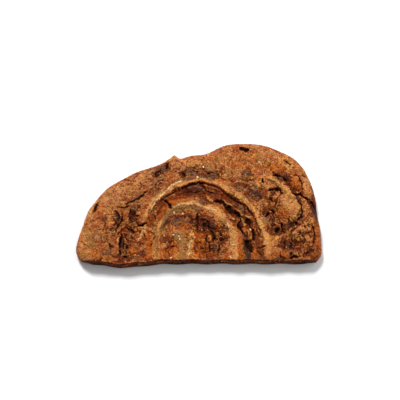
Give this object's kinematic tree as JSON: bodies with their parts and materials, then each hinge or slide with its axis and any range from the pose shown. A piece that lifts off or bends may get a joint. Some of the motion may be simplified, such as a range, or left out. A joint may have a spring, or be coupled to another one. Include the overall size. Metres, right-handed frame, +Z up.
{
  "type": "sesame flatbread",
  "caption": "Half of a round sesame flatbread: a flattened coil of layered dough, baked brown, with raised ridges, open seams and one straight cut face.",
  "frame": {"origin": "on the flat underside, below the centre of the dough coil, 19 mm behind the straight cut", "axes": "+Z up out of the baked top, +X along the cut to the right, +Y from the cut towards the round crust"},
  "size_m": [0.2829, 0.1486, 0.0223],
  "materials": {
    "baked_crust": "baked dough, mottled brown, satin where sugar has caramelised"
  },
  "bodies": {
    "root": {"flatbread_half": "baked_crust"}
  },
  "joints": []
}
